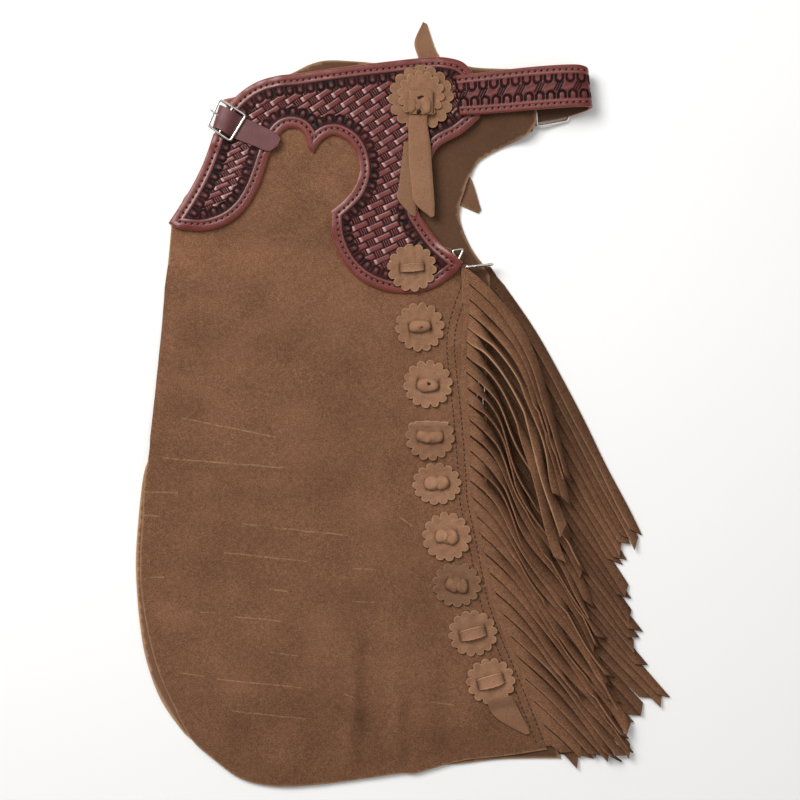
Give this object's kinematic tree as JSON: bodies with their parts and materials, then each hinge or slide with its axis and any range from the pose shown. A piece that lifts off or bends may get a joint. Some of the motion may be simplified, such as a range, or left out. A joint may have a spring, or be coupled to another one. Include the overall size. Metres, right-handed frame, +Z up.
{
  "type": "fringed leather chaps",
  "caption": "Brown suede batwing chaps with tooled oxblood yokes, scalloped rosettes and long side fringe, folded in half and laid flat",
  "frame": {"origin": "middle of the bounding box's underside, on the surface the chaps lie on", "axes": "+Z up off the surface; +Y towards the waist; +X towards the fringe; millimetre sizes stored in metres"},
  "size_m": [0.5367, 0.7682, 0.0237],
  "materials": {
    "suede_brown": "soft napped suede, medium brown",
    "suede_inside": "flesh side of the suede and plain tabs, dark brown",
    "suede_light": "suede of the rosettes and ties, a lighter brown",
    "oxblood_leather": "thick dyed leather, stamped, oxblood, satin",
    "latigo_leather": "smooth strap leather, mauve brown",
    "nickel_plate": "nickel-plated steel wire, bright"
  },
  "bodies": {
    "chaps": {"belt": "oxblood_leather", "belt_chape": "oxblood_leather", "belt_keeper": "oxblood_leather", "buckle_front_chape": "oxblood_leather", "buckle_front_frame": "nickel_plate", "buckle_front_tongue": "nickel_plate", "buckle_rear_frame": "nickel_plate", "buckle_rear_tongue": "nickel_plate", "fringe_far": "suede_brown", "fringe_near": "suede_brown", "front_strap": "latigo_leather", "leg_far": "suede_inside", "leg_near": "suede_brown", "ring_upper": "nickel_plate", "rosette_1": "suede_light", "rosette_1_knot": "suede_light", "rosette_2": "suede_light", "rosette_2_knot": "suede_light", "rosette_3": "suede_light", "rosette_3_knot": "suede_light", "rosette_4": "suede_light", "rosette_4_knot": "suede_light", "rosette_5": "suede_light", "rosette_5_knot": "suede_light", "rosette_6": "suede_light", "rosette_6_knot": "suede_light", "rosette_7": "suede_light", "rosette_7_knot": "suede_light", "rosette_8": "suede_light", "rosette_8_knot": "suede_light", "rosette_9": "suede_light", "rosette_9_knot": "suede_light", "rosette_big_knot": "suede_light", "rosette_big_top": "suede_light", "rosette_big_under": "suede_light", "snap_lower_hook": "nickel_plate", "snap_upper_hook": "nickel_plate", "tab_ring": "suede_inside", "tab_snap_lower": "suede_inside", "tab_snap_upper": "suede_inside", "thigh_flaps": "suede_inside", "tie_back": "suede_light", "tie_far_bottom": "suede_light", "tie_far_top": "suede_light", "tie_front": "suede_light", "tie_leaf": "suede_light", "yoke_far": "oxblood_leather", "yoke_near": "oxblood_leather"},
    "snap_lower_gate_body": {"snap_lower_gate": "nickel_plate"},
    "snap_upper_gate_body": {"snap_upper_gate": "nickel_plate"}
  },
  "joints": [
    {"name": "snap_lower_gate_hinge", "type": "hinge", "parent": "chaps", "child": "snap_lower_gate_body", "pos_m": [0.07454, 0.00811, 0.0054], "axis": [0, 0, -1], "range_deg": [0, 18], "stiffness_Nm_per_rad": 0.02},
    {"name": "snap_upper_gate_hinge", "type": "hinge", "parent": "chaps", "child": "snap_upper_gate_body", "pos_m": [0.07182, 0.13788, 0.01669], "axis": [-0.1047, 0.9945, 0], "range_deg": [0, 18], "stiffness_Nm_per_rad": 0.02}
  ]
}
